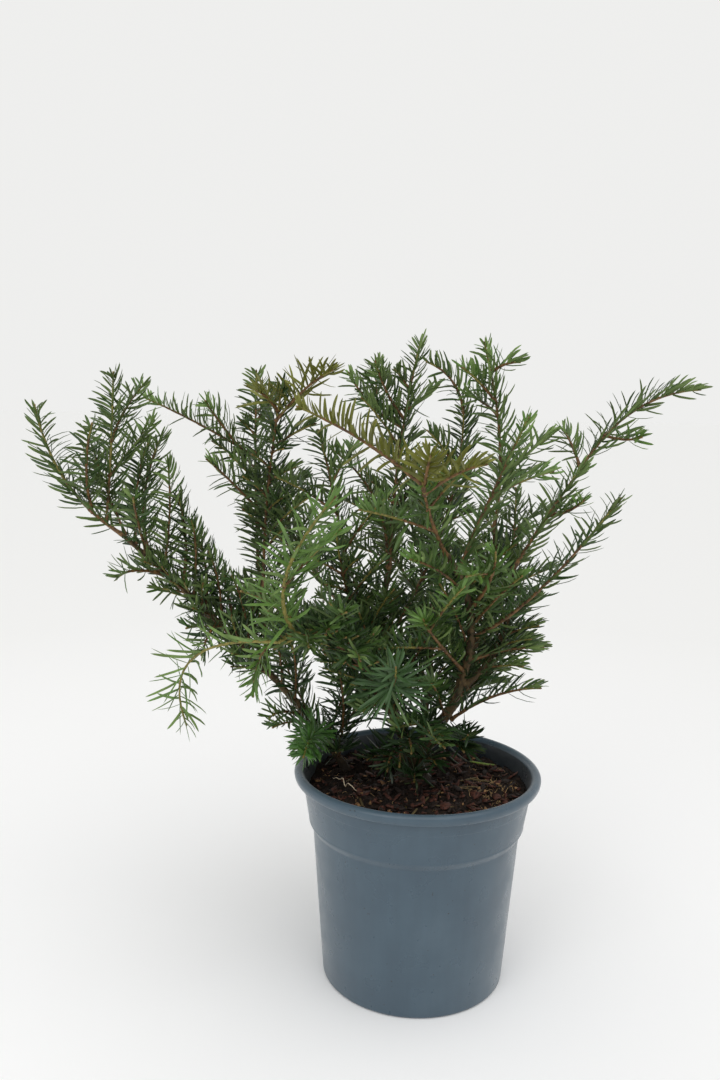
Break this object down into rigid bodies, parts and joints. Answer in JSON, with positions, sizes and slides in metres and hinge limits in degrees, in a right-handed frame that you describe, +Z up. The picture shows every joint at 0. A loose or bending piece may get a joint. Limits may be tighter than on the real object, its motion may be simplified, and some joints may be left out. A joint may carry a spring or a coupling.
{
  "type": "english yew in a nursery pot",
  "caption": "Young spreading english yew with reddish stems and green needle sprays, standing in a round tapered nursery pot filled with potting mix.",
  "frame": {"origin": "middle of the flat underside of the pot, on the ground", "axes": "+Z up along the pot's axis, +X to the viewer's right and +Y away from the viewer who looks at the pictured side"},
  "size_m": [0.504, 0.3602, 0.5009],
  "materials": {
    "pot_plastic": "blue-grey injection-moulded plastic, satin",
    "potting_mix": "damp dark potting mix with bark chips and fibres",
    "bark": "thin reddish-brown flaking bark, green on the youngest shoots",
    "needles_green": "mid green needles, slightly waxy",
    "needles_dark": "older needles, dark green, slightly waxy",
    "needles_bronze": "olive to bronze needles at the nearest shoots",
    "needles_fresh": "bright yellow-green young needles"
  },
  "bodies": {
    "root": {"pot": "pot_plastic", "soil": "potting_mix", "trunk": "bark", "right_bough": "bark", "left_low_bough": "bark", "middle_bough": "bark", "front_bough": "bark", "back_bough": "bark", "left_bough": "bark", "column_bough": "bark", "inner_left_bough": "bark", "right_top_bough": "bark", "long_right_bough": "bark", "back_left_bough": "bark", "back_right_bough": "bark", "left_tip": "needles_green", "left_upright": "needles_green", "left_inner": "needles_dark", "left_low": "needles_green", "left_short": "needles_dark", "left_stub": "needles_dark", "left_under": "needles_dark", "left_shoulder": "needles_dark", "left_foot": "needles_dark", "column": "needles_dark", "column_second": "needles_dark", "thin_upright": "needles_green", "inner_upright": "needles_green", "middle_top": "needles_dark", "right_middle": "needles_dark", "centre_left": "needles_dark", "centre_front": "needles_green", "front_short": "needles_dark", "front_rosette": "needles_green", "low_centre": "needles_dark", "low_tuft": "needles_dark", "right_foot": "needles_dark", "front_arch": "needles_bronze", "right_top": "needles_green", "right_inner": "needles_green", "right_fill": "needles_green", "long_right": "needles_green", "right_arm": "needles_green", "right_low": "needles_green", "right_back_low": "needles_dark", "right_droop": "needles_dark", "low_left": "needles_fresh", "fresh_front": "needles_fresh", "fresh_tuft": "needles_fresh", "back_top": "needles_dark", "back_centre": "needles_dark", "back_low": "needles_dark", "back_left": "needles_dark", "back_left_low": "needles_dark", "back_right": "needles_dark", "back_right_low": "needles_dark"}
  },
  "joints": []
}
